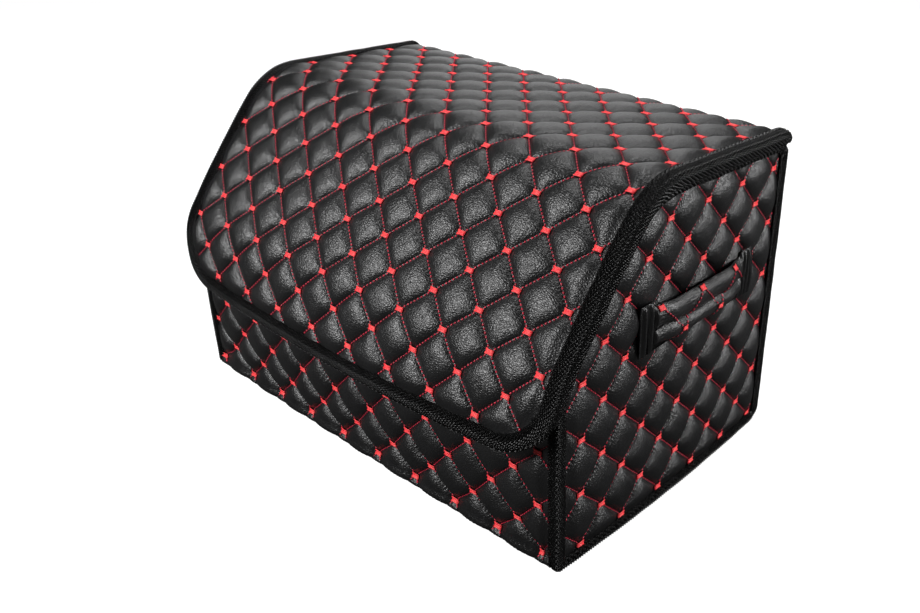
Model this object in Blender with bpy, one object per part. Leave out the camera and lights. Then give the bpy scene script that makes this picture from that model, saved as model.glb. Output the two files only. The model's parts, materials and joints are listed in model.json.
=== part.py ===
"""Quilted organizer bag for a car boot.

A stiff box with boards inside and quilted leatherette outside, and a bent lid
whose front flap closes over the front panel.  Metres, +Z up, the front faces -Y.
The origin is the centre of the base, on the floor.
"""

import math

import bmesh
import bpy
from mathutils import Matrix, Vector

# Body of the bag, measured at the stitch lines of the quilting
BODY_WIDTH = 0.4902
BODY_DEPTH = 0.301
FRONT_TOP = 0.147
FRONT_CORNER_RADIUS = 0.005
REAR_CORNER_RADIUS = 0.013
SMALLEST_RADIUS = 0.0008
WRAP_DEG = 60.0

# How finely round shapes are stepped
REAR_ARC_STEPS = 3
FRONT_WRAP_STEPS = 2
SIDE_CORNER_STEPS = 3
LID_CORNER_STEPS = 5
SHORTEST_FACET = 0.004
SMOOTH_BELOW_DEG = 35.0
WELD = 0.0001

# Quilting: squares stood on their corners
QUILT_PITCH = 0.0515
PUFF_RISE = 0.0045
PUFF_SHOULDER_RISE = 0.0033
PUFF_SHOULDER_WIDTH = 0.0066
SMALLEST_PUFF = 0.0042

# Wall layers, from the outside in
COVER_BASE = 0.002
BOARD_THICKNESS = 0.003
LINING_THICKNESS = 0.0015
CLEARANCE = 0.0003

# Lid, drawn along its outer stitch surface from the hinge line forwards
LID_REAR_HEIGHT = 0.2985
LID_REAR_RADIUS = 0.008
LID_RISE_DEG = 1.7
LID_BEND_LENGTH = 0.061
LID_BEND_DEG = 49.0
LID_SLANT_BOW_DEG = 7.0
LID_KNEE_LENGTH = 0.027
LID_KNEE_DEG = 18.5
LID_FLAP_LENGTH = 0.048
FLAP_EDGE_AHEAD = 0.0224
FLAP_EDGE_DROP = 0.0335
LID_BEND_ROW = 8
LID_SIDE_OVERHANG = 0.0049
LID_CORNER_RADIUS = 0.040
LID_SHEET_THICKNESS = 0.0015
LID_LINING_THICKNESS = 0.0012
LID_REST_GAP = 0.0005
HINGE_BEHIND_PUFFS = 0.0006

# Braided binding tape
SIDE_BINDING_WIDTH = 0.0135
SIDE_BINDING_RISE = 0.0045
SIDE_BINDING_EDGE_RISE = 0.002
SIDE_BINDING_LEG = 0.0125
LID_BINDING_WIDTH = 0.0132
LID_BINDING_RISE = 0.003
BINDING_ROUNDING = 0.0022
EDGE_TAPE_THICKNESS = 0.0012
EDGE_TAPE_HEIGHT = 0.009

# Places of the stitch crossings
LID_CROSSING_X = -0.0283
FRONT_CROSSING_X = -0.0307
FRONT_CROSSING_Z = 0.0575
BACK_CROSSING_DROP = 0.0180
SIDE_CROSSING_Y = 0.0273
SIDE_CROSSING_Z = 0.0118

# Carrying handles on the side panels
HANDLE_Y = 0.170
HANDLE_Z = 0.1845
HANDLE_LENGTH = 0.160
HANDLE_TAB_LENGTH = 0.020
HANDLE_TAB_HEIGHT = 0.046
HANDLE_TAB_THICKNESS = 0.0035
HANDLE_STRAP_HEIGHT = 0.036
HANDLE_STRAP_THICKNESS = 0.006
HANDLE_ARCH = 0.0066
HANDLE_ARCH_RUN = 0.022
HANDLE_STEP_RUN = 0.002
HANDLE_MID_ARCH = 0.6
HANDLE_ROUNDING = 0.0012

# Hook and loop closure under the flap
CLOSURE_FROM_SIDE = 0.0651
CLOSURE_WIDTH = 0.100
CLOSURE_HEIGHT = 0.020
CLOSURE_THICKNESS = 0.0015
CLOSURE_ABOVE_FLAP_EDGE = 0.008
LOOP_STRIP_DROP = 0.018

# Removable divider
DIVIDER_X = 0.080
DIVIDER_HEIGHT = 0.130
DIVIDER_BOARD = 0.003
DIVIDER_COVER = 0.0015
DIVIDER_TAB_WIDTH = 0.025
DIVIDER_TAB_HEIGHT = 0.100

# Worked out from the sizes above
HALF_WIDTH = BODY_WIDTH / 2
LID_WIDTH = BODY_WIDTH + 2 * LID_SIDE_OVERHANG
CELL_SIDE = QUILT_PITCH / math.sqrt(2)
ROW = QUILT_PITCH / 2
REAR_Y = BODY_DEPTH
HINGE_Z = LID_REAR_HEIGHT - LID_REAR_RADIUS
HINGE_Y = REAR_Y + PUFF_RISE + HINGE_BEHIND_PUFFS
BOARD_OUT = COVER_BASE + CLEARANCE
BOARD_IN = BOARD_OUT + BOARD_THICKNESS
LINING_OUT = BOARD_IN + CLEARANCE
LINING_IN = LINING_OUT + LINING_THICKNESS
LID_SHEET_OUT = COVER_BASE + CLEARANCE
LID_SHEET_IN = LID_SHEET_OUT + LID_SHEET_THICKNESS
LID_LINING_OUT = LID_SHEET_IN + CLEARANCE
LID_THICKNESS = LID_LINING_OUT + LID_LINING_THICKNESS
SIDE_INNER_X = HALF_WIDTH - LINING_IN
WRAP_HALF_WIDTH = HALF_WIDTH - SIDE_BINDING_LEG - CLEARANCE
BASE_COVER_TOP = SIDE_BINDING_EDGE_RISE + COVER_BASE
BASE_BOARD_LOW = BASE_COVER_TOP + CLEARANCE
BASE_BOARD_TOP = BASE_BOARD_LOW + BOARD_THICKNESS
FLOOR_LOW = BASE_BOARD_TOP + CLEARANCE
FLOOR_TOP = FLOOR_LOW + LINING_THICKNESS


def clear_scene():
    for obj in list(bpy.data.objects):
        bpy.data.objects.remove(obj, do_unlink=True)


def make_material(name, colour, roughness, metallic=0.0):
    material = bpy.data.materials.new(name)
    material.use_nodes = True
    shader = material.node_tree.nodes["Principled BSDF"]
    shader.inputs["Base Color"].default_value = (*colour, 1.0)
    shader.inputs["Roughness"].default_value = roughness
    shader.inputs["Metallic"].default_value = metallic
    return material


def make_collection(name):
    collection = bpy.data.collections.new(name)
    bpy.context.scene.collection.children.link(collection)
    return collection


class Path:
    """A line in the YZ plane made of straight runs and arcs, turning left."""

    def __init__(self, start, heading_deg, pieces):
        self.start = Vector(start)
        self.heading = math.radians(heading_deg)
        self.pieces = [(length, math.radians(turn)) for length, turn in pieces]
        self.length = sum(length for length, _ in pieces)

    def locate(self, distance):
        """The point at a distance along the line, and its outward normal."""
        place = self.start.copy()
        angle = self.heading
        left = distance
        for length, turn in self.pieces:
            run = min(left, length)
            if abs(turn) < 1e-9:
                place += run * Vector((math.cos(angle), math.sin(angle)))
            else:
                radius = length / turn
                after = angle + turn * (run / length if length else 1.0)
                place.x += radius * (math.sin(after) - math.sin(angle))
                place.y += radius * (math.cos(angle) - math.cos(after))
                angle = after
            left -= run
            if left <= 0:
                break
        return place, Vector((math.sin(angle), -math.cos(angle)))

    def breaks(self, arc_steps):
        """Distances where the line has to be creased, with its two ends."""
        marks = [0.0]
        done = 0.0
        for (length, turn), steps in zip(self.pieces, arc_steps):
            count = steps if abs(turn) > 1e-9 else 1
            marks += [done + length * (i + 1) / count for i in range(count)]
            done += length
        return marks


class Bend:
    """Carries a flat sheet (across, along, height) onto a creased path."""

    def __init__(self, path, stations):
        self.stations = stations
        self.points = [path.locate(s)[0] for s in stations]
        runs = [(b - a).normalized() for a, b in zip(self.points, self.points[1:])]
        sides = [Vector((run.y, -run.x)) for run in runs]
        first = path.locate(stations[0])[1]
        last = path.locate(stations[-1])[1]
        self.mitres = [first / first.dot(sides[0])]
        for before, after in zip(sides, sides[1:]):
            middle = (before + after).normalized()
            self.mitres.append(middle / middle.dot(after))
        self.mitres.append(last / last.dot(sides[-1]))

    def place(self, across, along, height):
        last = len(self.stations) - 2
        index = 0
        while index < last and along > self.stations[index + 1]:
            index += 1
        low = self.stations[index]
        share = (along - low) / (self.stations[index + 1] - low)
        a = self.points[index] + height * self.mitres[index]
        b = self.points[index + 1] + height * self.mitres[index + 1]
        spot = a.lerp(b, share)
        return Vector((across, spot.x, spot.y))

    def offset_point(self, index, height):
        return self.points[index] + height * self.mitres[index]

    def apply(self, bm):
        for along in self.stations[1:-1]:
            cut(bm, (0, along, 0), (0, 1, 0))
        fan_undersides(bm)
        for vert in bm.verts:
            vert.co = self.place(*vert.co)


def cut(bm, place, normal, clear_outer=False):
    geometry = bm.verts[:] + bm.edges[:] + bm.faces[:]
    bmesh.ops.bisect_plane(bm, geom=geometry, plane_co=place, plane_no=normal,
                           dist=WELD, clear_outer=clear_outer)


def fan_undersides(bm):
    """Fans each flat underside from its middle, with no flat slivers."""
    floor = min(vert.co.z for vert in bm.verts)
    flat = [face for face in bm.faces if max(vert.co.z for vert in face.verts) < floor + WELD]
    bmesh.ops.poke(bm, faces=flat)


def rounded_outline(corners, steps=SIDE_CORNER_STEPS):
    """Corners (u, v, radius) anticlockwise; a radius of 0 keeps the point."""
    outline = []
    count = len(corners)
    for i, (u, v, radius) in enumerate(corners):
        corner = Vector((u, v))
        if radius <= 0:
            outline.append(corner)
            continue
        back = (Vector(corners[i - 1][:2]) - corner).normalized()
        ahead = (Vector(corners[(i + 1) % count][:2]) - corner).normalized()
        half = back.angle(ahead) / 2
        reach = radius / math.tan(half)
        centre = corner + (back + ahead).normalized() * radius / math.sin(half)
        first = corner + back * reach - centre
        turn = math.pi - 2 * half
        for step in range(steps + 1):
            arm = first.copy()
            arm.rotate(Matrix.Rotation(turn * step / steps, 2))
            outline.append(centre + arm)
    return outline


def inradius(face):
    return 2 * face.calc_area() / face.calc_perimeter()


def puff(bm):
    """Raises every cell of the flat lattice into a low pillow."""
    full = CELL_SIDE / 2
    shrink = 1 - PUFF_SHOULDER_WIDTH / full
    cells = [face for face in bm.faces if inradius(face) > SMALLEST_PUFF]
    raised = bmesh.ops.extrude_discrete_faces(bm, faces=cells)["faces"]
    tops = []
    for face in raised:
        share = min(1.0, inradius(face) / full)
        centre = face.calc_center_median_weighted()
        for vert in face.verts:
            vert.co = centre + (vert.co - centre) * shrink
            vert.co.z = PUFF_SHOULDER_RISE * share
        tops.append((centre, PUFF_RISE * share))
    middles = bmesh.ops.poke(bm, faces=raised)["verts"]
    for vert in middles:
        centre, height = min(tops, key=lambda top: (top[0].xy - vert.co.xy).length)
        vert.co.z = height


def quilted_sheet(outline, crossing, thickness=COVER_BASE):
    """Flat quilted sheet inside a convex outline, stitch lines at height 0."""
    bm = bmesh.new()
    reach = max((point - Vector(crossing)).length for point in outline)
    cells = 2 * math.ceil(reach / CELL_SIDE)
    place = Matrix.Translation((*crossing, 0)) @ Matrix.Rotation(math.radians(45), 4, "Z")
    bmesh.ops.create_grid(bm, x_segments=cells, y_segments=cells,
                          size=cells * CELL_SIDE / 2, matrix=place)
    for a, b in zip(outline, outline[1:] + outline[:1]):
        run = (b - a).normalized()
        cut(bm, (*a, 0), (run.y, -run.x, 0), clear_outer=True)
    bmesh.ops.remove_doubles(bm, verts=bm.verts, dist=2 * WELD)
    puff(bm)
    border = [edge for edge in bm.edges if edge.is_boundary]
    down = bmesh.ops.extrude_edge_only(bm, edges=border)["geom"]
    lower = [item for item in down if isinstance(item, bmesh.types.BMVert)]
    bmesh.ops.translate(bm, vec=(0, 0, -thickness), verts=lower)
    rim = [edge for edge in bm.edges if edge.is_boundary]
    bmesh.ops.edgeloop_fill(bm, edges=rim)
    return bm


def plain_sheet(outline, low, high):
    """Flat slab inside an outline, between two heights."""
    bm = bmesh.new()
    verts = [bm.verts.new((*point, low)) for point in outline]
    face = bmesh.ops.contextual_create(bm, geom=verts)["faces"][0]
    grown = bmesh.ops.extrude_face_region(bm, geom=[face])["geom"]
    upper = [item for item in grown if isinstance(item, bmesh.types.BMVert)]
    bmesh.ops.translate(bm, vec=(0, 0, high - low), verts=upper)
    return bm


def box_mesh(low, high):
    bm = bmesh.new()
    low = Vector(low)
    high = Vector(high)
    size = high - low
    place = Matrix.Translation((low + high) / 2) @ Matrix.Diagonal((*size, 1))
    bmesh.ops.create_cube(bm, size=1, matrix=place)
    return bm


def loft(rings, closed=False, folded=False):
    """Skins closed sections one after the other, capped unless closed.

    A folded section runs out along its outer line and back along its inner
    line, and its caps are strips between the two.
    """
    bm = bmesh.new()
    loops = [[bm.verts.new(point) for point in ring] for ring in rings]
    followers = loops[1:] + (loops[:1] if closed else [])
    for one, other in zip(loops, followers):
        for i, vert in enumerate(one):
            bm.faces.new((one[i - 1], vert, other[i], other[i - 1]))
    for loop in () if closed else (loops[0], loops[-1]):
        if folded:
            back = loop[::-1]
            for i in range(len(loop) // 2 - 1):
                bm.faces.new((loop[i], loop[i + 1], back[i + 1], back[i]))
        else:
            bm.faces.new(loop)
    return bm


def stand_on_side(bm):
    """Flat (depth, height, out) coordinates to the right side panel."""
    for vert in bm.verts:
        depth, height, out = vert.co
        vert.co = (HALF_WIDTH + out, depth, height)


class Bag:
    """Collects the finished pieces as named objects."""

    def __init__(self):
        self.collection = make_collection("organizer_bag")
        self.leather = make_material("black_leatherette", (0.012, 0.012, 0.013), 0.42)
        self.braid = make_material("braided_tape", (0.008, 0.008, 0.008), 0.7)
        self.board = make_material("fibreboard", (0.23, 0.14, 0.07), 0.8)
        self.fabric = make_material("lining_felt", (0.03, 0.03, 0.033), 0.95)
        self.sheet = make_material("plastic_sheet", (0.05, 0.05, 0.05), 0.5)
        self.closure = make_material("hook_and_loop", (0.01, 0.01, 0.01), 0.9)
        self.body = self.add_empty("bag_body", (0, 0, 0))
        self.lid = self.add_empty("bag_lid", (0, HINGE_Y - BODY_DEPTH / 2, HINGE_Z))

    def add_empty(self, name, place):
        empty = bpy.data.objects.new(name, None)
        empty.location = place
        self.collection.objects.link(empty)
        return empty

    def add(self, name, bm, material, parent):
        """Moves a mesh from the front plane to the base centre and keeps it."""
        bmesh.ops.triangulate(bm, faces=bm.faces, quad_method="BEAUTY", ngon_method="BEAUTY")
        bmesh.ops.recalc_face_normals(bm, faces=bm.faces)
        shift = Vector((0, -BODY_DEPTH / 2, 0)) - parent.location
        bmesh.ops.translate(bm, vec=shift, verts=bm.verts)
        mesh = bpy.data.meshes.new(name)
        bm.to_mesh(mesh)
        bm.free()
        mesh.materials.append(material)
        mesh.shade_smooth()
        mesh.set_sharp_from_angle(angle=math.radians(SMOOTH_BELOW_DEG))
        obj = bpy.data.objects.new(name, mesh)
        obj.parent = parent
        self.collection.objects.link(obj)

    def add_pair(self, stem, bm, material, parent):
        """A piece on the right and its mirror image on the left."""
        left = bm.copy()
        bmesh.ops.scale(left, vec=(-1, 1, 1), verts=left.verts)
        self.add(stem + "_right", bm, material, parent)
        self.add(stem + "_left", left, material, parent)


def lid_pieces(top, slant):
    rear_turn = 90 - LID_RISE_DEG
    return [
        (LID_REAR_RADIUS * math.radians(rear_turn), rear_turn),
        (top, 0.0),
        (LID_BEND_LENGTH, LID_BEND_DEG),
        (slant, LID_SLANT_BOW_DEG),
        (LID_KNEE_LENGTH, LID_KNEE_DEG),
        (LID_FLAP_LENGTH, 0.0),
    ]


def lid_path():
    """The top and the slant are as long as it takes to reach the flap's edge."""
    start = Vector((REAR_Y, HINGE_Z))
    edge = Vector((-FLAP_EDGE_AHEAD, FRONT_TOP - FLAP_EDGE_DROP))

    def flap_end(top, slant):
        path = Path(start, 90.0, lid_pieces(top, slant))
        return path.locate(path.length)[0]

    bare = flap_end(0.0, 0.0)
    per_top = flap_end(1.0, 0.0) - bare
    per_slant = flap_end(0.0, 1.0) - bare
    missing = edge - bare
    spread = per_top.cross(per_slant)
    top = missing.cross(per_slant) / spread
    slant = per_top.cross(missing) / spread
    return Path(start, 90.0, lid_pieces(top, slant))


def lid_bend():
    """The lid creases at its rear arc and at every row of crossings."""
    path = lid_path()
    arc_end = path.pieces[0][0]
    stations = [arc_end * step / REAR_ARC_STEPS for step in range(REAR_ARC_STEPS + 1)]
    rows = int(path.length / ROW)
    stations += [ROW * row for row in range(1, rows + 1) if ROW * row > arc_end + SHORTEST_FACET]
    if path.length - stations[-1] > SHORTEST_FACET:
        stations.append(path.length)
    else:
        stations[-1] = path.length
    return Bend(path, stations)


LID = lid_bend()
LID_LENGTH = LID.stations[-1]


def side_corners():
    """Corners (depth, height, radius) of a side panel's outer edge, under the lid."""
    front = -SIDE_BINDING_EDGE_RISE
    rear = REAR_Y + SIDE_BINDING_EDGE_RISE
    drop = -(LID_THICKNESS + LID_REST_GAP)
    under = [LID.offset_point(i, drop) for i in range(REAR_ARC_STEPS, len(LID.stations))]
    last = next(i for i, point in enumerate(under) if point.x < front)
    a, b = under[last - 1], under[last]
    meet = a.lerp(b, (a.x - front) / (a.x - b.x))
    slope = [point for point in under[1:last] if (point - meet).length > SIDE_BINDING_WIDTH]
    corners = [(front, 0, FRONT_CORNER_RADIUS), (rear, 0, REAR_CORNER_RADIUS)]
    corners.append((rear, HINGE_Z - LID_REAR_RADIUS, 0))
    corners += [(*point, 0) for point in under[:1] + slope]
    corners.append((*meet, FRONT_CORNER_RADIUS))
    return corners


def side_outline(inset):
    """Outline of a side panel, inset all round from its outer edge."""
    corners = side_corners()
    points = [Vector(corner[:2]) for corner in corners]
    outline = []
    for i, (u, v, radius) in enumerate(corners):
        before = (points[i] - points[i - 1]).normalized()
        after = (points[(i + 1) % len(points)] - points[i]).normalized()
        inward = Vector((-before.y - after.y, before.x + after.x)).normalized()
        mitre = inset / inward.dot(Vector((-after.y, after.x)))
        spot = points[i] + mitre * inward
        outline.append((*spot, max(radius - inset, SMALLEST_RADIUS) if radius else 0))
    return rounded_outline(outline, SIDE_CORNER_STEPS)


def lid_outline(inset, rear=0.0):
    """Flat lid pattern (across, along), round at its two front corners."""
    half = LID_WIDTH / 2 - inset
    front = LID_LENGTH - inset
    radius = LID_CORNER_RADIUS - inset
    corners = [(-half, rear, 0), (half, rear, 0), (half, front, radius), (-half, front, radius)]
    return rounded_outline(corners, LID_CORNER_STEPS)


def add_side_panels(bag):
    edge = SIDE_BINDING_WIDTH + CLEARANCE
    cover = quilted_sheet(side_outline(edge), (SIDE_CROSSING_Y, SIDE_CROSSING_Z))
    fan_undersides(cover)
    stand_on_side(cover)
    bag.add_pair("side_cover", cover, bag.leather, bag.body)
    board_edge = SIDE_BINDING_EDGE_RISE + BOARD_OUT
    board = plain_sheet(side_outline(board_edge), -BOARD_IN, -BOARD_OUT)
    stand_on_side(board)
    bag.add_pair("side_board", board, bag.board, bag.body)
    lining_edge = SIDE_BINDING_EDGE_RISE + LINING_OUT
    lining = plain_sheet(side_outline(lining_edge), -LINING_IN, -LINING_OUT)
    stand_on_side(lining)
    bag.add_pair("side_lining", lining, bag.fabric, bag.body)


def add_side_bindings(bag):
    """Tape round each side panel: a leg on the side, a leg on the edge."""
    leg = SIDE_BINDING_EDGE_RISE + COVER_BASE
    low = -COVER_BASE
    rounding = BINDING_ROUNDING
    section = [
        (0, -SIDE_BINDING_LEG),
        (0, SIDE_BINDING_RISE - rounding),
        (rounding, SIDE_BINDING_RISE),
        (SIDE_BINDING_WIDTH - rounding, SIDE_BINDING_RISE),
        (SIDE_BINDING_WIDTH, SIDE_BINDING_RISE - rounding),
        (SIDE_BINDING_WIDTH, low),
        (leg, low),
        (leg, -SIDE_BINDING_LEG),
    ]
    outlines = [side_outline(inset) for inset, _ in section]
    rings = []
    for spots in zip(*outlines):
        rings.append([(HALF_WIDTH + out, *spot) for (_, out), spot in zip(section, spots)])
    bag.add_pair("side_binding", loft(rings, closed=True), bag.braid, bag.body)


def add_front_panel(bag):
    radius = FRONT_CORNER_RADIUS
    straight = FRONT_TOP - radius - COVER_BASE
    arc = radius * math.radians(WRAP_DEG)
    path = Path((0, FRONT_TOP), -90.0, [(straight, 0.0), (arc, WRAP_DEG)])
    bend = Bend(path, path.breaks([1, FRONT_WRAP_STEPS]))
    half = WRAP_HALF_WIDTH
    top = EDGE_TAPE_HEIGHT + CLEARANCE
    corners = [(-half, top, 0), (half, top, 0), (half, path.length, 0), (-half, path.length, 0)]
    crossing = (FRONT_CROSSING_X, FRONT_TOP - FRONT_CROSSING_Z)
    cover = quilted_sheet(rounded_outline(corners), crossing)
    bend.apply(cover)
    bag.add("front_cover", cover, bag.leather, bag.body)
    inside = HALF_WIDTH - BOARD_IN - CLEARANCE
    lowest = COVER_BASE + radius + CLEARANCE
    board = box_mesh((-inside, BOARD_OUT, lowest), (inside, BOARD_IN, FRONT_TOP - EDGE_TAPE_THICKNESS))
    bag.add("front_board", board, bag.board, bag.body)
    inner = SIDE_INNER_X - CLEARANCE
    lining_top = FRONT_TOP - EDGE_TAPE_HEIGHT - CLEARANCE
    lining = box_mesh((-inner, LINING_OUT, lowest), (inner, LINING_IN, lining_top))
    bag.add("front_lining", lining, bag.fabric, bag.body)
    add_front_edge_tape(bag)


def add_front_edge_tape(bag):
    """Tape folded over the top edge of the front panel."""
    outer = BOARD_OUT - CLEARANCE - EDGE_TAPE_THICKNESS
    inner = BOARD_IN + CLEARANCE + EDGE_TAPE_THICKNESS
    crown = FRONT_TOP - EDGE_TAPE_THICKNESS + CLEARANCE
    bottom = FRONT_TOP - EDGE_TAPE_HEIGHT
    section = [
        (outer, bottom),
        (outer, crown + EDGE_TAPE_THICKNESS),
        (inner, crown + EDGE_TAPE_THICKNESS),
        (inner, bottom),
        (inner - EDGE_TAPE_THICKNESS, bottom),
        (inner - EDGE_TAPE_THICKNESS, crown),
        (outer + EDGE_TAPE_THICKNESS, crown),
        (outer + EDGE_TAPE_THICKNESS, bottom),
    ]
    half = WRAP_HALF_WIDTH
    rings = [[(x, *point) for point in section] for x in (-half, half)]
    bag.add("front_edge_tape", loft(rings, folded=True), bag.braid, bag.body)


def add_back_panel(bag):
    radius = REAR_CORNER_RADIUS
    wrap = math.radians(WRAP_DEG)
    centre = Vector((REAR_Y - radius, COVER_BASE + radius))
    first = centre + radius * Vector((math.cos(wrap), -math.sin(wrap)))
    straight = HINGE_Z - CLEARANCE - centre.y
    path = Path(first, 90.0 - WRAP_DEG, [(radius * wrap, WRAP_DEG), (straight, 0.0)])
    bend = Bend(path, path.breaks([REAR_ARC_STEPS, 1]))
    half = WRAP_HALF_WIDTH
    corners = [(-half, 0, 0), (half, 0, 0), (half, path.length, 0), (-half, path.length, 0)]
    crossing = (LID_CROSSING_X, path.length - BACK_CROSSING_DROP)
    cover = quilted_sheet(rounded_outline(corners), crossing)
    bend.apply(cover)
    bag.add("back_cover", cover, bag.leather, bag.body)
    inside = HALF_WIDTH - BOARD_IN - CLEARANCE
    lowest = COVER_BASE + radius + CLEARANCE
    board_top = HINGE_Z - LID_REAR_RADIUS - SIDE_BINDING_EDGE_RISE - BOARD_OUT
    board = box_mesh((-inside, REAR_Y - BOARD_IN, lowest), (inside, REAR_Y - BOARD_OUT, board_top))
    bag.add("back_board", board, bag.board, bag.body)
    inner = SIDE_INNER_X - CLEARANCE
    lining = box_mesh((-inner, REAR_Y - LINING_IN, lowest), (inner, REAR_Y - LINING_OUT, board_top))
    bag.add("back_lining", lining, bag.fabric, bag.body)


def add_base(bag):
    front = FRONT_CORNER_RADIUS + CLEARANCE
    rear = REAR_Y - REAR_CORNER_RADIUS - CLEARANCE
    half = WRAP_HALF_WIDTH
    cover = box_mesh((-half, front, 0), (half, rear, BASE_COVER_TOP))
    bag.add("base_cover", cover, bag.fabric, bag.body)
    inside = HALF_WIDTH - BOARD_IN - CLEARANCE
    board_front = front + COVER_BASE
    board = box_mesh((-inside, board_front, BASE_BOARD_LOW), (inside, rear, BASE_BOARD_TOP))
    bag.add("base_board", board, bag.board, bag.body)
    inner = SIDE_INNER_X - CLEARANCE
    lining_front = LINING_IN + CLEARANCE
    lining_rear = REAR_Y - LINING_IN - CLEARANCE
    lining = box_mesh((-inner, lining_front, FLOOR_LOW), (inner, lining_rear, FLOOR_TOP))
    bag.add("floor_lining", lining, bag.fabric, bag.body)


def add_lid(bag):
    edge = LID_BINDING_WIDTH + CLEARANCE
    cover = quilted_sheet(lid_outline(edge), (LID_CROSSING_X, LID_BEND_ROW * ROW))
    LID.apply(cover)
    bag.add("lid_cover", cover, bag.leather, bag.lid)
    past_arc = LID.stations[REAR_ARC_STEPS] + CLEARANCE
    sheet = plain_sheet(lid_outline(edge, past_arc), -LID_SHEET_IN, -LID_SHEET_OUT)
    LID.apply(sheet)
    bag.add("lid_sheet", sheet, bag.sheet, bag.lid)
    lining = plain_sheet(lid_outline(edge, past_arc), -LID_THICKNESS, -LID_LINING_OUT)
    LID.apply(lining)
    bag.add("lid_lining", lining, bag.fabric, bag.lid)


def add_lid_binding(bag):
    """One length of tape along both sides and the front edge of the lid."""
    rounding = BINDING_ROUNDING
    section = [
        (0, -LID_THICKNESS + rounding),
        (0, LID_BINDING_RISE - rounding),
        (rounding, LID_BINDING_RISE),
        (LID_BINDING_WIDTH - rounding, LID_BINDING_RISE),
        (LID_BINDING_WIDTH, LID_BINDING_RISE - rounding),
        (LID_BINDING_WIDTH, -LID_THICKNESS),
        (rounding, -LID_THICKNESS),
    ]
    outlines = []
    for inset, _ in section:
        arcs = lid_outline(inset)[2:]
        straight = [s for s in LID.stations if s < arcs[0].y - SHORTEST_FACET / 2]
        right = [Vector((LID_WIDTH / 2 - inset, s)) for s in straight]
        left = [Vector((-point.x, point.y)) for point in reversed(right)]
        outlines.append(right + arcs + left)
    rings = []
    for spots in zip(*outlines):
        rings.append([LID.place(*spot, height) for (_, height), spot in zip(section, spots)])
    bag.add("lid_binding", loft(rings), bag.braid, bag.lid)


def add_handles(bag):
    """Folded strap, flat at its two sewn ends and arched between them."""
    seat = PUFF_RISE + CLEARANCE
    half = HANDLE_LENGTH / 2
    tab = half - HANDLE_TAB_LENGTH
    flat = tab - HANDLE_ARCH_RUN
    slim = (HANDLE_TAB_HEIGHT, HANDLE_TAB_THICKNESS)
    full = (HANDLE_STRAP_HEIGHT, HANDLE_STRAP_THICKNESS)
    shoulders = [
        (half, 0.0, *slim),
        (tab, 0.0, *slim),
        (tab - HANDLE_STEP_RUN, 0.0, HANDLE_STRAP_HEIGHT, HANDLE_TAB_THICKNESS),
        (tab - HANDLE_ARCH_RUN / 2, HANDLE_ARCH * HANDLE_MID_ARCH, *full),
        (flat, HANDLE_ARCH, *full),
    ]
    stations = [(-along, *rest) for along, *rest in shoulders]
    stations += [(along, *rest) for along, *rest in reversed(shoulders)]
    rings = []
    soft = HANDLE_ROUNDING
    for along, lift, height, thickness in stations:
        low = seat + lift
        high = low + thickness
        rise = height / 2
        section = [
            (low, -rise + soft), (low, rise - soft), (low + soft, rise), (high - soft, rise),
            (high, rise - soft), (high, -rise + soft), (high - soft, -rise), (low + soft, -rise),
        ]
        rings.append([(HALF_WIDTH + out, HANDLE_Y + along, HANDLE_Z + up) for out, up in section])
    bag.add_pair("handle", loft(rings), bag.leather, bag.body)


def add_closure(bag):
    """Loop strips on the front panel and hook strips inside the flap."""
    high_x = HALF_WIDTH - CLOSURE_FROM_SIDE
    low_x = high_x - CLOSURE_WIDTH
    face = -(PUFF_RISE + CLEARANCE)
    low_z = FRONT_TOP - LOOP_STRIP_DROP - CLOSURE_HEIGHT / 2
    high_z = low_z + CLOSURE_HEIGHT
    loop = box_mesh((low_x, face - CLOSURE_THICKNESS, low_z), (high_x, face, high_z))
    bag.add_pair("loop_strip", loop, bag.closure, bag.body)
    end = LID_LENGTH - LID_BINDING_WIDTH - CLOSURE_ABOVE_FLAP_EDGE + LID_THICKNESS
    start = end - CLOSURE_HEIGHT
    outline = [Vector(p) for p in ((low_x, start), (high_x, start), (high_x, end), (low_x, end))]
    top = -LID_THICKNESS - CLEARANCE
    hook = plain_sheet(outline, top - CLOSURE_THICKNESS, top)
    LID.apply(hook)
    bag.add_pair("hook_strip", hook, bag.closure, bag.lid)


def add_divider(bag):
    """Stiff divider in a fabric sleeve, held by two tabs on the linings."""
    floor = FLOOR_TOP + CLEARANCE
    front = LINING_IN + CLEARANCE
    rear = REAR_Y - LINING_IN - CLEARANCE
    outer = DIVIDER_BOARD / 2 + CLEARANCE + DIVIDER_COVER
    inner = DIVIDER_BOARD / 2 + CLEARANCE
    crown = floor + DIVIDER_HEIGHT
    sleeve_floor = floor + DIVIDER_COVER
    section = [
        (-outer, crown), (-outer, floor), (outer, floor), (outer, crown),
        (inner, crown), (inner, sleeve_floor), (-inner, sleeve_floor), (-inner, crown),
    ]
    rings = [[(DIVIDER_X + x, y, z) for x, z in section] for y in (front, rear)]
    bag.add("divider_cover", loft(rings, folded=True), bag.fabric, bag.body)
    low = (DIVIDER_X - DIVIDER_BOARD / 2, front, sleeve_floor + CLEARANCE)
    board = box_mesh(low, (DIVIDER_X + DIVIDER_BOARD / 2, rear, crown))
    bag.add("divider_board", board, bag.board, bag.body)
    near = DIVIDER_X + outer + CLEARANCE
    tab_low = floor + CLEARANCE
    walls = {"divider_tab_front": front, "divider_tab_back": rear - CLOSURE_THICKNESS}
    for name, wall in walls.items():
        low = (near, wall, tab_low)
        high = (near + DIVIDER_TAB_WIDTH, wall + CLOSURE_THICKNESS, tab_low + DIVIDER_TAB_HEIGHT)
        bag.add(name, box_mesh(low, high), bag.closure, bag.body)


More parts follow.
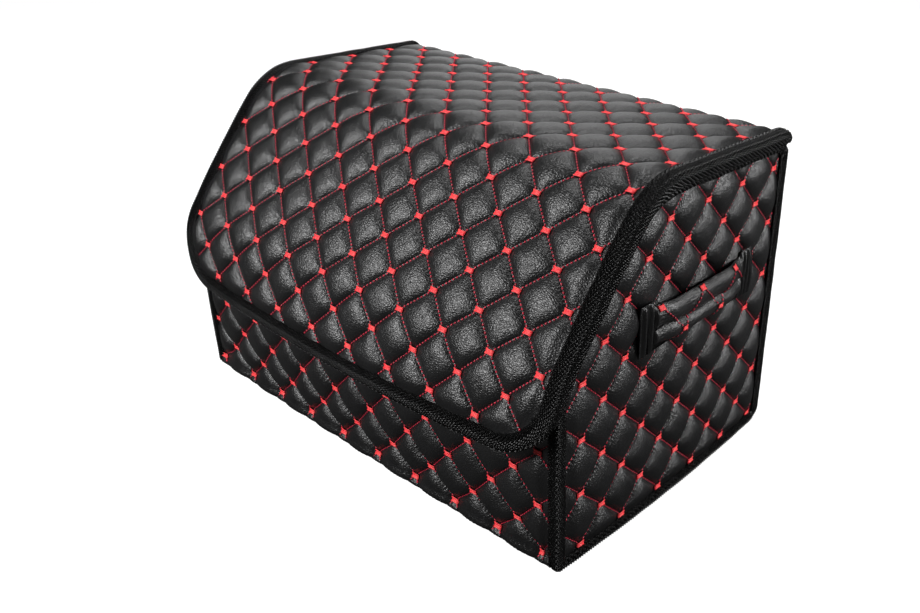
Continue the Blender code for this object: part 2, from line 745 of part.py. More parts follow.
def main():
    clear_scene()
    bag = Bag()
    add_side_panels(bag)
    add_side_bindings(bag)
    add_front_panel(bag)
    add_back_panel(bag)
    add_base(bag)
    add_lid(bag)
    add_lid_binding(bag)
    add_handles(bag)
    add_closure(bag)
    add_divider(bag)


main()
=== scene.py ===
"""Looks of the quilted organizer bag: leather, thread, tape, light and camera.

Metres, +Z up, the front faces -Y, the origin is the centre of the base.
"""

import json
import math

import bmesh
import bpy
from mathutils import Matrix, Vector, noise


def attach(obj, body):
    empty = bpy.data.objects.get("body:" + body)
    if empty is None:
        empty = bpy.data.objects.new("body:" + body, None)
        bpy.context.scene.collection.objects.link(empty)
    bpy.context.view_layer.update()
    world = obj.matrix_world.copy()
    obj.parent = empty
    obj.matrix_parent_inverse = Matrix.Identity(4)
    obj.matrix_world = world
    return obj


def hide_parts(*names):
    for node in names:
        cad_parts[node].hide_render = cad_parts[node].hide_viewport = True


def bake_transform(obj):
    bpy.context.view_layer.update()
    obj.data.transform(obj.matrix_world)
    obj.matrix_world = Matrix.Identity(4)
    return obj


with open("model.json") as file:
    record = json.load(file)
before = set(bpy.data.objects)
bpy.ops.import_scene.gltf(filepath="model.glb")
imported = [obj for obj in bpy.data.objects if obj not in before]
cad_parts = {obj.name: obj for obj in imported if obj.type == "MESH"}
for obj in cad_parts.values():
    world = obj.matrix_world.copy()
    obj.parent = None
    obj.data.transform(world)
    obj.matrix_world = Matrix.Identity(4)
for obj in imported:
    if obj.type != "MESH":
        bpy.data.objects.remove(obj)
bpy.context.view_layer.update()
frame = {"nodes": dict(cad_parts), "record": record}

# Body of the bag, at the stitch lines of its quilting
HALF_WIDTH = 0.2451
FRONT_Y = -0.1505
REAR_Y = 0.1505
FRONT_TOP = 0.147
HINGE_Z = 0.2905
FRONT_CORNER = 0.005
FRONT_FOLD = 0.003
FRONT_FOOT = 0.0012
FRONT_PULL = 0.006
FRONT_SHEET_TOP = 0.0078
REAR_CORNER = 0.013
REAR_TOP_CORNER = 0.005
LEATHER = 0.002
WRAP_DEG = 60.0

# Lid, along its stitch surface from the hinge line forwards
LID_REAR_RADIUS = 0.008
LID_REAR_DEG = 88.3
LID_TOP = 0.156
LID_BEND = (0.061, 49.0)
LID_SLANT = (0.125, 7.0)
LID_KNEE = (0.027, 18.5)
LID_FLAP = 0.048
LID_HALF_WIDTH = 0.250
LID_CORNER = 0.055
FLAP_BOW = 0.0110
FLAP_SHORT = 0.0046
FLAP_POINTS_MM = (150, 90, 30, -30, -90, -150)
LID_THICKNESS = 0.0053
LID_REST_GAP = 0.0005
HINGE_JOINT = 0.008
ROLL = 0.006
LID_BREAK_SPACING = 0.012
LID_BREAKS = 36

# Quilting
PITCH = 0.0515
CELL = PITCH / math.sqrt(2)
ROW = PITCH / 2
DIAGONAL = math.sqrt(0.5)
TINY = 1e-6
CUT_SLACK = 2e-5
CORNER_CUTS = 5
BEND_ROW = 8
BACK_PITCHES = 11
LID_CROSSING_X = -0.0283
FRONT_CROSSING = (-0.0307, 0.0885)
SIDE_CROSSING = (-0.1232, 0.0118)
STEPS_PER_CELL = 16
SEAM_CROWDING = 1.4
PUFF_RISE = 0.0062
PUFF_SQUARENESS = 2.7
PUFF_SHOULDER = 0.72
WANDER = 0.0006
UNDER_TAPE = 0.0015
TAUT_RISE = 0.0046
FRONT_BOW = 0.0025
SIDE_BOW = 0.005
SIDE_BOW_TOP = 0.13
FRONT_BOW_HALF = 0.233
FRONT_BOW_RUN = (0.01, 0.06)

# Fullness of the leather: single puffs, borders, the roll at the hinge, the lower edge
PUFF_VARIETY = 0.10
RUMPLE_SCALE = 1.9
RUMPLE_RISE = 0.0004
CREASE_SCALE = 4.5
CREASE_RISE = 0.00022
WANDER_SCALE = 26
EDGE_FULLNESS = 0.3
EDGE_RUN = 0.012
ROLL_FULLNESS = 0.55
ROLL_NEAR_GAIN = 0.30
ROLL_NEAR = (0.0, 0.05)
ROLL_FAR_GAIN = 0.15
ROLL_FAR = (0.12, 0.20)
TACK_PRESS = (0.8, 1.9)
TACK_PRESS_WIDTH = 1.15
TAUT_FADE = (0.001, 0.009)
TAUT_OUTER = (0.004, 0.013)
TAUT_INNER = (0.0005, 0.0045)
TAUT_EDGE_SHARE = 0.4
TAUT_UNSEWN = 0.0065
PUCKER_REACH_MM = 1.7

# Drift of the pattern over lid and front
LID_DRIFT_TOP = 0.0022
LID_DRIFT_TOP_RUN = (0.4, 0.6)
LID_DRIFT_FLAP = 0.0065
LID_DRIFT_FLAP_RUN = (0.5, 0.9)
LID_DRIFT_SKEW = 0.9
LID_DRIFT_PEAK = 1.3
FRONT_DRIFT = 0.0070
FRONT_DRIFT_EDGE = 0.016
FRONT_DRIFT_RUN = (0.085, 0.140)
FRONT_PULL_RUN = (0.105, 0.140)

# Thread
STITCHES_PER_CELL = 10
STITCH_HALF_LENGTH = 0.00128
STITCH_HALF_WIDTH = 0.00085
STITCH_HALF_HEIGHT = 0.0007
STITCH_LIFT = 0.0008
SLENDER = 0.62
TACK_HALF_LENGTH = 0.0041
TACK_HALF_WIDTH = 0.0023
TACK_STRANDS = 6
TACK_CLEAR = 0.0050
TACK_STRAND_RADIUS = 0.0006
TACK_BASE = 0.0002
TACK_CROWN = 0.0006
CUT_CLEAR = 0.0002
STRAP_CLEAR = 0.0004

# Braided tape
TAPE_RISE = 0.003
LID_TAPE_WIDTH = 0.0118
LID_LIP = 0.0013
LID_LIP_DROP = 0.0085
SIDE_TAPE_WIDTH = 0.0096
SIDE_TAPE_RISE = 0.0036
SIDE_TAPE_LEG = 0.0062
SIDE_TAPE_EDGE = 0.002
RING_SPACING = 0.0009
RINGS_PER_RIB = 3
RIB_DEPTH = 0.0013
RIB_SLANT = 0.75
YARN_PITCH = 0.0018
SECTION_STEP = 0.0013
SECTION_CORNER_STEPS = 3
TAPE_FACE_DEPTH = 0.0015
TAPE_CROWN = 0.0005
TAPE_CROWN_DEPTH = 0.001
TAPE_RIPPLE = 0.0004
RIPPLE_SCALE = (45, 60)
INNER_FADE = 0.004
INNER_CALM = 0.6
INNER_WAVE = 1.5
PANEL_HALF = HALF_WIDTH - SIDE_TAPE_LEG + UNDER_TAPE

# Light
AMBIENT = 0.05
GLOSS_SHARE = 0.015
FLOOR_DROP = 0.0004
FLOOR_HALF = 6.0

# Handle on each side panel
HANDLE_PLACE = (0.0195, 0.1845)
HANDLE_SEAT = 0.0046
STRAP_HALF = 0.080
STRAP_HALF_HEIGHT = 0.018
STRAP_CROSSING = (0.0142, 0.2004)
TAB = 0.019
TAB_HALF_HEIGHT = 0.023
ARCH = 0.0045
ARCH_RUN = 0.024
FOLD_SEAM = -0.0025
FOLD_SEAM_SPREAD = 0.0016
FOLD_SEAM_DIP = 0.0007
FOLD_SEAM_STITCHES = 40
TAB_RUN = 0.003
BAND_BASE = 0.0022
BAND_RISE = 0.0046
STRAP_RUMPLE = 0.0006
STRAP_SAG = 0.0012
PLEAT_BASE = 0.0022
PLEAT_RISE = 0.0034
PLEAT_FRONT = (0.0755, 0.0085)
PLEAT_REAR = (0.0745, 0.0058)
PLEAT_LEAN = 0.05
HANDLE_TACK_SIZE = 0.82
HANDLE_RINGS = 150
HANDLE_AROUND = 56


def smooth_step(low, high, value):
    share = min(1.0, max(0.0, (value - low) / (high - low)))
    return share * share * (3 - 2 * share)


class Path:
    """A line in the YZ plane made of straight runs and arcs, turning left."""

    def __init__(self, start, heading_deg, pieces):
        self.start = Vector(start)
        self.heading = math.radians(heading_deg)
        self.pieces = [(length, math.radians(turn)) for length, turn in pieces]
        self.length = sum(length for length, _ in self.pieces)

    def locate(self, distance):
        """The point at a distance along the line, and its outward normal."""
        x, y = self.start
        angle = self.heading
        left = distance
        for i, (length, turn) in enumerate(self.pieces):
            last = i == len(self.pieces) - 1
            run = left if last else min(left, length)
            if turn:
                radius = length / turn
                after = angle + turn * run / length
                x += radius * (math.sin(after) - math.sin(angle))
                y += radius * (math.cos(angle) - math.cos(after))
                angle = after
            else:
                x += run * math.cos(angle)
                y += run * math.sin(angle)
            left -= run
            if left <= 0:
                break
        return Vector((x, y)), Vector((math.sin(angle), -math.cos(angle)))


def shell_path():
    """Up the back, over the top, down the slant and the flap."""
    wrap = math.radians(WRAP_DEG)
    centre = Vector((REAR_Y - REAR_CORNER, LEATHER + REAR_CORNER))
    start = centre + REAR_CORNER * Vector((math.cos(wrap), -math.sin(wrap)))
    pieces = [
        (REAR_CORNER * wrap, WRAP_DEG),
        (HINGE_Z - centre.y, 0.0),
        (LID_REAR_RADIUS * math.radians(LID_REAR_DEG), LID_REAR_DEG),
        (LID_TOP, 0.0),
        LID_BEND,
        LID_SLANT,
        LID_KNEE,
        (LID_FLAP, 0.0),
    ]
    return Path(start, 90.0 - WRAP_DEG, pieces)


def front_path():
    """Down the front panel and round under its lower edge."""
    wrap = math.radians(WRAP_DEG)
    straight = FRONT_TOP - FRONT_FOLD - FRONT_FOOT
    return Path((FRONT_Y, FRONT_TOP), -90.0, [(straight, 0.0), (FRONT_FOLD * wrap, WRAP_DEG)])


SHELL = shell_path()
HINGE_AT = REAR_CORNER * math.radians(WRAP_DEG) + HINGE_Z - LEATHER - REAR_CORNER
LID_END = SHELL.length
FRONT = front_path()


def on_path(path):
    """A sheet bent along a path: across is X."""
    def place(across, along, height):
        spot, normal = path.locate(along)
        return Vector((across, spot.x + height * normal.x, spot.y + height * normal.y))
    return place


def on_side(side):
    """A sheet on a side panel, right (1) or left (-1), bowed out a little near the base."""
    def place(depth, height, out):
        low = max(0.0, 1 - height / SIDE_BOW_TOP)
        bow = SIDE_BOW * low * low * max(0.0, 1 - (depth / REAR_Y) ** 2)
        return Vector((side * (HALF_WIDTH + out + bow), depth, max(height, 0.0)))
    return place


def on_front(across, along, height):
    """A sheet on the front panel, bowed forwards a little."""
    spot, normal = FRONT.locate(along)
    bow = FRONT_BOW * max(0.0, 1 - (across / FRONT_BOW_HALF) ** 2)
    bow *= smooth_step(*FRONT_BOW_RUN, along)
    return Vector((across, spot.x + height * normal.x - bow, spot.y + height * normal.y))


class Outline:
    """A convex outline of corners (u, v, radius), anticlockwise or open."""

    def __init__(self, corners, loose=(), closed=True):
        self.corners = corners
        self.loose = loose
        self.closed = closed

    def inset_corners(self, inset):
        count = len(self.corners)
        points = [Vector(corner[:2]) for corner in self.corners]
        moved = []
        for i, (_, _, radius) in enumerate(self.corners):
            ends = []
            if self.closed or i > 0:
                ends.append((points[i] - points[i - 1]).normalized())
            if self.closed or i < count - 1:
                ends.append((points[(i + 1) % count] - points[i]).normalized())
            inward = sum((Vector((-run.y, run.x)) for run in ends), Vector((0, 0))).normalized()
            reach = inset / inward.dot(Vector((-ends[0].y, ends[0].x)))
            moved.append((points[i] + reach * inward, max(radius - inset, 0.0004) if radius else 0))
        return moved

    def track(self, inset, spacing):
        """Points along the inset outline, as many for every inset."""
        count = len(self.corners)
        plain = self.inset_corners(0)
        moved = self.inset_corners(inset)
        track = []
        for i in range(count):
            corner, radius = moved[i]
            if radius and not self.open_end(i):
                centre, arm, turn = self.arc(moved, i)
                steps = max(3, round(plain[i][1] * turn / spacing))
                for step in range(steps + 1):
                    track.append(centre + Matrix.Rotation(turn * step / steps, 2) @ arm)
            else:
                track.append(corner.copy())
            if not self.closed and i == count - 1:
                break
            gap = (plain[(i + 1) % count][0] - plain[i][0]).length
            steps = max(1, round((gap - plain[i][1] - plain[(i + 1) % count][1]) / spacing))
            start = track[-1]
            end = self.arc_start(moved, (i + 1) % count)
            for step in range(1, steps):
                track.append(start.lerp(end, step / steps))
        return track

    def open_end(self, i):
        return not self.closed and i in (0, len(self.corners) - 1)

    def arc(self, moved, i):
        """Centre of a rounded corner, the arm to where it starts, and its turn."""
        corner, radius = moved[i]
        back = (moved[i - 1][0] - corner).normalized()
        ahead = (moved[(i + 1) % len(moved)][0] - corner).normalized()
        half = back.angle(ahead) / 2
        centre = corner + (back + ahead).normalized() * radius / math.sin(half)
        return centre, corner + back * radius / math.tan(half) - centre, math.pi - 2 * half

    def arc_start(self, moved, i):
        corner, radius = moved[i]
        if not radius or self.open_end(i):
            return corner
        back = (moved[i - 1][0] - corner).normalized()
        ahead = (moved[(i + 1) % len(moved)][0] - corner).normalized()
        return corner + back * radius / math.tan(back.angle(ahead) / 2)

    def edges(self, inset):
        """Straight edges of the inset outline, each with whether it is taped."""
        count = len(self.corners)
        moved = self.inset_corners(inset)
        segments = []
        for i in range(count):
            corner, radius = moved[i]
            ahead = (moved[(i + 1) % count][0] - corner).normalized()
            first = self.arc_start(moved, i)
            last = corner + ahead * (first - corner).length
            if radius:
                centre, arm, turn = self.arc(moved, i)
                for step in range(CORNER_CUTS):
                    one = centre + Matrix.Rotation(turn * step / CORNER_CUTS, 2) @ arm
                    two = centre + Matrix.Rotation(turn * (step + 1) / CORNER_CUTS, 2) @ arm
                    segments.append((one, two, True))
            segments.append((last, self.arc_start(moved, (i + 1) % count), i not in self.loose))
        return segments


class Quilt:
    """The quilting of one panel: place of its seams, relief and border."""

    def __init__(self, place, outline, inset, crossing, seed, taut=None, drift=None, flatter=None):
        self.taut = taut
        self.flatter = flatter
        self.drift = drift
        self.place = place
        self.crossing = Vector(crossing)
        self.seed = seed
        self.edges = outline.edges(inset)
        self.lines = []
        for a, b, taped in self.edges:
            if taped and (b - a).length > TINY:
                run = (b - a).normalized()
                self.lines.append((a.x, a.y, -run.y, run.x))

    def to_cells(self, x, y):
        dx = (x - self.crossing.x) / CELL
        dy = (y - self.crossing.y) / CELL
        return (dx + dy) * DIAGONAL, (dy - dx) * DIAGONAL

    def to_flat(self, p, q):
        return (self.crossing.x + CELL * (p - q) * DIAGONAL,
                self.crossing.y + CELL * (p + q) * DIAGONAL)

    def inside(self, x, y):
        """Distance inside the taped border."""
        return min((x - ax) * nx + (y - ay) * ny for ax, ay, nx, ny in self.lines)

    def contains(self, x, y, clear):
        """Whether a flat point lies inside the cut edge by a clearance."""
        for a, b, _ in self.edges:
            run = b - a
            if run.length < TINY:
                continue
            if ((a.y - y) * run.x + (x - a.x) * run.y) / run.length > -clear:
                return False
        return True

    def sewn(self, y):
        """Stitches stop where the leather turns under the base."""
        return self.taut is None or abs(y - self.taut) > TAUT_UNSEWN

    def relief(self, x, y):
        """Height of the leather above the stitch surface."""
        p, q = self.to_cells(x, y)
        u = abs(2 * (p - math.floor(p)) - 1)
        v = abs(2 * (q - math.floor(q)) - 1)
        pillow = max(0.0, (1 - u ** PUFF_SQUARENESS) * (1 - v ** PUFF_SQUARENESS)) ** PUFF_SHOULDER
        away_p = (p - round(p)) * CELL
        away_q = (q - round(q)) * CELL
        along = abs(away_p - away_q) * DIAGONAL / TACK_HALF_LENGTH
        across = abs(away_p + away_q) * DIAGONAL / (TACK_HALF_WIDTH * TACK_PRESS_WIDTH)
        press = smooth_step(*TACK_PRESS, math.hypot(along, across))
        own = noise.noise(Vector((math.floor(p) * 3.7, math.floor(q) * 5.3, self.seed)))
        rumple = noise.noise(Vector((p * RUMPLE_SCALE, q * RUMPLE_SCALE, self.seed + 7)))
        crease = noise.noise(Vector((p * CREASE_SCALE, q * CREASE_SCALE, self.seed + 3)))
        full = PUFF_RISE * (1 + PUFF_VARIETY * own) + RUMPLE_RISE * rumple + CREASE_RISE * crease
        edge = EDGE_FULLNESS + (1 - EDGE_FULLNESS) * smooth_step(0.0, EDGE_RUN, self.inside(x, y))
        if self.flatter is not None:
            away = abs(y - self.flatter)
            edge *= ROLL_FULLNESS + ROLL_NEAR_GAIN * smooth_step(*ROLL_NEAR, away)
            edge += ROLL_FAR_GAIN * smooth_step(*ROLL_FAR, away)
        if self.taut is not None:
            edge *= smooth_step(*TAUT_FADE, abs(y - self.taut))
        return self.ground(y) + full * pillow * press * edge

    def ground(self, y):
        """Fullness under the seams where the leather is pulled over the lower edge."""
        if self.taut is None:
            return 0.0
        away = abs(y - self.taut)
        rise = TAUT_RISE * (1 - smooth_step(*TAUT_OUTER, away))
        return rise * (TAUT_EDGE_SHARE + (1 - TAUT_EDGE_SHARE) * smooth_step(*TAUT_INNER, away))

    def lay(self, x, y, height):
        """Carries a flat point to the panel, wandering as sewn leather does."""
        dx = noise.noise(Vector((x * WANDER_SCALE, y * WANDER_SCALE, self.seed + 11)))
        dy = noise.noise(Vector((x * WANDER_SCALE, y * WANDER_SCALE, self.seed + 23)))
        shift = self.drift(x, y) if self.drift else (0.0, 0.0)
        return self.place(x + shift[0] + WANDER * dx, y + shift[1] + WANDER * dy, height)


def crowd(value):
    """Moves a cell's grid lines towards its seams."""
    whole = math.floor(value + TINY)
    side = 2 * (value - whole) - 1
    from_seam = max(0.0, 1 - abs(side)) ** SEAM_CROWDING
    return whole + (1 + math.copysign(1 - from_seam, side)) / 2


def leather_sheet(quilt, breaks=()):
    """Puffed leather inside the quilt's outline, with a plain underside."""
    bm = bmesh.new()
    reach = max((a - quilt.crossing).length for a, _, _ in quilt.edges)
    cells = 2 * math.ceil(reach / CELL)
    bmesh.ops.create_grid(bm, x_segments=cells * STEPS_PER_CELL, y_segments=cells * STEPS_PER_CELL,
                          size=cells / 2)
    for vert in bm.verts:
        vert.co.xy = quilt.to_flat(crowd(vert.co.x), crowd(vert.co.y))
    for a, b, _ in quilt.edges:
        run = b - a
        if run.length > TINY:
            geometry = bm.verts[:] + bm.edges[:] + bm.faces[:]
            bmesh.ops.bisect_plane(bm, geom=geometry, dist=CUT_SLACK, plane_co=(*a, 0),
                                   plane_no=Vector((run.y, -run.x, 0)).normalized(), clear_outer=True)
    border = [edge for edge in bm.edges if edge.is_boundary]
    down = bmesh.ops.extrude_edge_only(bm, edges=border)["geom"]
    lower = [item for item in down if isinstance(item, bmesh.types.BMVert)]
    bmesh.ops.translate(bm, vec=(0, 0, -LEATHER), verts=lower)
    rim = [edge for edge in bm.edges if edge.is_boundary]
    under = bmesh.ops.edgeloop_fill(bm, edges=rim)["faces"]
    for along in breaks:
        verts = list({vert for face in under for vert in face.verts})
        edges = list({edge for face in under for edge in face.edges})
        cut = bmesh.ops.bisect_plane(bm, geom=verts + edges + under, dist=CUT_SLACK,
                                     plane_co=(0, along, 0), plane_no=(0, 1, 0))
        under = [item for item in cut["geom"] if isinstance(item, bmesh.types.BMFace)]
    uv = bm.loops.layers.uv.new("quilt")
    for face in bm.faces:
        for loop in face.loops:
            loop[uv].uv = quilt.to_cells(loop.vert.co.x, loop.vert.co.y)
    for vert in bm.verts:
        x, y, z = vert.co
        height = z if z < -LEATHER / 2 else quilt.relief(x, y)
        vert.co = quilt.lay(x, y, height)
    return bm


def bead_shape():
    """One stitch, lying along X."""
    bm = bmesh.new()
    bmesh.ops.create_uvsphere(bm, u_segments=6, v_segments=4, radius=1,
                              matrix=Matrix.Rotation(math.pi / 2, 4, "Y"))
    return as_mesh(bm)


def tack_shape():
    """Satin bar over a crossing: blunt strands side by side, splayed at both ends."""
    bm = bmesh.new()
    for strand in range(TACK_STRANDS):
        share = 2 * strand / (TACK_STRANDS - 1) - 1
        length = 2 * TACK_HALF_LENGTH * (0.94 + 0.06 * abs(share))
        spot = Matrix.Translation((0, share * TACK_HALF_WIDTH * 0.78, TACK_BASE + TACK_CROWN * abs(share)))
        bmesh.ops.create_cone(bm, cap_ends=True, segments=5, radius1=TACK_STRAND_RADIUS,
                              radius2=TACK_STRAND_RADIUS, depth=length,
                              matrix=spot @ Matrix.Rotation(math.pi / 2, 4, "Y"))
    strands = [edge for edge in bm.edges if edge.calc_length() > TACK_HALF_LENGTH]
    bmesh.ops.subdivide_edges(bm, edges=strands, cuts=2)
    for vert in bm.verts:
        out = vert.co.x / TACK_HALF_LENGTH
        vert.co.y *= 0.88 + 0.2 * out * out
        vert.co.z -= TACK_BASE * out * out
    return as_mesh(bm)


def as_mesh(bm):
    mesh = bpy.data.meshes.new("shape")
    bm.to_mesh(mesh)
    bm.free()
    return mesh


def stamp(bm, mesh, matrix):
    """Adds a copy of a small shape."""
    count = len(bm.verts)
    bm.from_mesh(mesh)
    bm.verts.ensure_lookup_table()
    bmesh.ops.transform(bm, matrix=matrix, verts=bm.verts[count:])


def thread(quilt, clear, slender=1.0, tack_size=1.0):
    """Stitches along every seam, thinner on one slant, and a tack over every crossing.

    The tacks' faces take the second material.
    """
    bm = bmesh.new()
    bead = bead_shape()
    tack = tack_shape()
    spots = [quilt.to_cells(*a) for a, _, _ in quilt.edges]
    low_p = math.floor(min(p for p, _ in spots))
    high_p = math.ceil(max(p for p, _ in spots))
    low_q = math.floor(min(q for _, q in spots))
    high_q = math.ceil(max(q for _, q in spots))
    for p in range(low_p, high_p + 1):
        for q in range(low_q, high_q + 1):
            part = bmesh.new()
            x, y = quilt.to_flat(p, q)
            if quilt.contains(x, y, clear + TACK_HALF_WIDTH * 0.5):
                stamp(part, tack, Matrix.Translation((x, y, STITCH_LIFT)) @ Matrix.Scale(tack_size, 4))
                for face in part.faces:
                    face.material_index = 1
            for step in range(STITCHES_PER_CELL):
                share = (step + 0.5) / STITCHES_PER_CELL
                if min(share, 1 - share) * CELL < TACK_CLEAR:
                    continue
                for dp, dq, angle, width in ((share, 0, 45, 1.0), (0, share, 135, slender)):
                    x, y = quilt.to_flat(p + dp, q + dq)
                    if quilt.contains(x, y, clear) and quilt.sewn(y):
                        turn = Matrix.Rotation(math.radians(angle), 4, "Z")
                        size = Matrix.Diagonal((STITCH_HALF_LENGTH * (1.6 - 0.6 * width),
                                                STITCH_HALF_WIDTH * width, STITCH_HALF_HEIGHT * width, 1))
                        stamp(part, bead, Matrix.Translation((x, y, STITCH_LIFT)) @ turn @ size)
            for vert in part.verts:
                flat_x, flat_y, lift = vert.co
                vert.co = quilt.lay(flat_x, flat_y, lift + quilt.ground(flat_y))
            mesh = as_mesh(part)
            bm.from_mesh(mesh)
            bpy.data.meshes.remove(mesh)
    bpy.data.meshes.remove(bead)
    bpy.data.meshes.remove(tack)
    return bm


def section_points(corners):
    """Closed tape section (inset, out): rounded corners, long sides divided."""
    points = []
    count = len(corners)
    for i, (u, v, radius) in enumerate(corners):
        corner = Vector((u, v))
        back = (Vector(corners[i - 1][:2]) - corner).normalized()
        ahead = (Vector(corners[(i + 1) % count][:2]) - corner).normalized()
        if not radius:
            points.append(corner)
            continue
        half = back.angle(ahead) / 2
        centre = corner + (back + ahead).normalized() * radius / math.sin(half)
        first = corner + back * radius / math.tan(half) - centre
        turn = math.pi - 2 * half
        if back.cross(ahead) > 0:
            turn = -turn
        for step in range(SECTION_CORNER_STEPS + 1):
            part = turn * step / SECTION_CORNER_STEPS
            points.append(centre + Matrix.Rotation(part, 2) @ first)
    divided = []
    for a, b in zip(points, points[1:] + points[:1]):
        parts = max(1, math.ceil((b - a).length / SECTION_STEP))
        divided += [a.lerp(b, part / parts) for part in range(parts)]
    return divided


def braid(outline, section, width, place, closed):
    """Herringbone tape along an outline, its section given as (inset, out)."""
    normals = []
    for i, _ in enumerate(section):
        run = (section[(i + 1) % len(section)] - section[i - 1]).normalized()
        normals.append(Vector((-run.y, run.x)))
    area = sum(a.cross(b) for a, b in zip(section, section[1:] + section[:1]))
    if area > 0:
        normals = [-normal for normal in normals]
    girth = sum((b - a).length for a, b in zip(section, section[1:] + section[:1]))
    top = max(point.y for point in section)
    tracks = [outline.track(point.x, RING_SPACING) for point in section]
    rings = len(tracks[-1])
    last = rings if closed else rings - 1
    bm = bmesh.new()
    bmesh.ops.create_grid(bm, x_segments=last, y_segments=len(section), size=0.5)
    uv = bm.loops.layers.uv.new("braid")
    for face in bm.faces:
        for loop in face.loops:
            spot = loop.vert.co
            loop[uv].uv = ((spot.x + 0.5) * last * RING_SPACING, (spot.y + 0.5) * girth)
    for vert in bm.verts:
        ring = round((vert.co.x + 0.5) * last)
        spot = round((vert.co.y + 0.5) * len(section)) % len(section)
        inset, out = section[spot]
        from_edge = inset if out > top - TAPE_FACE_DEPTH else max(0.0, top - out)
        shift = RIB_SLANT * abs(from_edge - width / 2) / RING_SPACING
        index = ring + shift
        if closed:
            low = math.floor(index) % rings
            high = (low + 1) % rings
        else:
            index = min(index, rings - 1.0)
            low = math.floor(index)
            high = min(low + 1, rings - 1)
        track = tracks[spot]
        flat = track[low].lerp(track[high], index - math.floor(index))
        crest = math.cos(2 * math.pi * ring / RINGS_PER_RIB)
        rib = RIB_DEPTH * (0.5 + 0.5 * crest)
        wave = TAPE_RIPPLE * noise.noise(Vector((ring * RING_SPACING * RIPPLE_SCALE[0],
                                                 out * RIPPLE_SCALE[1], 1.3)))
        inner = smooth_step(width - INNER_FADE, width, inset)
        crown = 0.0
        if out > top - TAPE_CROWN_DEPTH:
            crown = TAPE_CROWN * (1 - (2 * min(inset, width) / width - 1) ** 2)
        lift = (rib * (1 - INNER_CALM * inner) + crown) * normals[spot] + Vector((0, wave))
        reach = flat_inward(track, low, high)
        moved = flat + reach * (lift.x + wave * inner * INNER_WAVE)
        vert.co = place(moved.x, moved.y, out + lift.y)
    bmesh.ops.remove_doubles(bm, verts=bm.verts, dist=TINY)
    if not closed:
        rim = [edge for edge in bm.edges if edge.is_boundary]
        bmesh.ops.holes_fill(bm, edges=rim, sides=0)
    return bm


def flat_inward(track, low, high):
    """Unit normal into the outline between two points of a track."""
    run = track[high] - track[low]
    if run.length < 1e-9:
        return Vector((0, 0))
    run.normalize()
    return Vector((-run.y, run.x))


class Value:
    """A shader value; arithmetic on it adds Math nodes."""

    def __init__(self, shade, socket):
        self.shade = shade
        self.socket = socket

    def math(self, operation, *others, swap=False):
        values = [self, *others]
        if swap:
            values.reverse()
        return self.shade.node("ShaderNodeMath", {"operation": operation}, *values)

    def __add__(self, other):
        return self.math("ADD", other)

    def __radd__(self, other):
        return self.math("ADD", other)

    def __sub__(self, other):
        return self.math("SUBTRACT", other)

    def __rsub__(self, other):
        return self.math("SUBTRACT", other, swap=True)

    def __mul__(self, other):
        return self.math("MULTIPLY", other)

    def __rmul__(self, other):
        return self.math("MULTIPLY", other)


class Shade:
    """One procedural material."""

    def __init__(self, name, roughness, specular=0.5):
        self.material = bpy.data.materials.new(name)
        self.material.use_nodes = True
        self.tree = self.material.node_tree
        self.shader = self.tree.nodes["Principled BSDF"]
        self.shader.inputs["Roughness"].default_value = roughness
        self.shader.inputs["Specular IOR Level"].default_value = specular

    def node(self, kind, settings, *values, output=0, **named):
        made = self.tree.nodes.new(kind)
        for key, value in settings.items():
            if key == "stops":
                self.set_stops(made.color_ramp, value)
            else:
                setattr(made, key, value)
        for i, value in enumerate(values):
            self.feed(made.inputs[i], value)
        for key, value in named.items():
            self.feed(made.inputs[key.replace("_", " ")], value)
        return Value(self, made.outputs[output])

    def set_stops(self, ramp, stops):
        while len(ramp.elements) < len(stops):
            ramp.elements.new(1.0)
        for element, (position, colour) in zip(ramp.elements, stops):
            element.position = position
            element.color = (*colour, 1.0)

    def feed(self, socket, value):
        if isinstance(value, Value):
            self.tree.links.new(value.socket, socket)
        else:
            socket.default_value = value

    def set(self, name, value):
        self.feed(self.shader.inputs[name], value)

    def place(self):
        return self.node("ShaderNodeTexCoord", {}, output="Object")

    def noise(self, vector, scale, detail=2.0, output=0):
        return self.node("ShaderNodeTexNoise", {}, output=output, Vector=vector, Scale=scale, Detail=detail)

    def tones(self, value, *stops):
        """Base colour from a value, by stops (position, colour)."""
        self.set("Base Color", self.node("ShaderNodeValToRGB", {"stops": stops}, value))

    def uv(self, name):
        """The two coordinates of a UV map."""
        both = self.node("ShaderNodeSeparateXYZ", {}, self.node("ShaderNodeUVMap", {"uv_map": name}))
        return both, Value(self, both.socket.node.outputs["Y"])

    def bump(self, height, distance):
        return self.node("ShaderNodeBump", {}, Height=height, Distance=distance, Strength=1.0)


def leather_material():
    shade = Shade("black_leatherette", 0.42)
    place = shade.place()
    drift = shade.noise(place, 420.0, output="Color")
    bent = shade.node("ShaderNodeVectorMath", {"operation": "MULTIPLY_ADD"}, drift,
                      (0.0012,) * 3, place)
    drawn = shade.node("ShaderNodeVectorMath", {"operation": "MULTIPLY"}, bent, (0.62, 1.0, 1.0))
    pebble = shade.node("ShaderNodeTexVoronoi", {"feature": "DISTANCE_TO_EDGE"}, Vector=drawn,
                        Scale=600.0)
    rounded = shade.node("ShaderNodeMath", {"operation": "SMOOTH_MIN"}, pebble, 0.35, 0.3)
    fine = shade.noise(place, 1900.0, detail=3.0)
    p, q = shade.uv("quilt")
    pucker = seam_pucker(p, q) + seam_pucker(q, p)
    height = rounded * 0.00055 + fine * 0.00005 + pucker * 0.00016
    shade.set("Normal", shade.bump(height, 1.0))
    broad = shade.noise(place, 38.0)
    shade.tones(broad, (0.3, (0.0034, 0.0034, 0.0036)), (0.7, (0.0060, 0.0060, 0.0064)))
    shade.set("Roughness", 0.29 + 0.08 * fine + 0.06 * broad)
    return shade.material


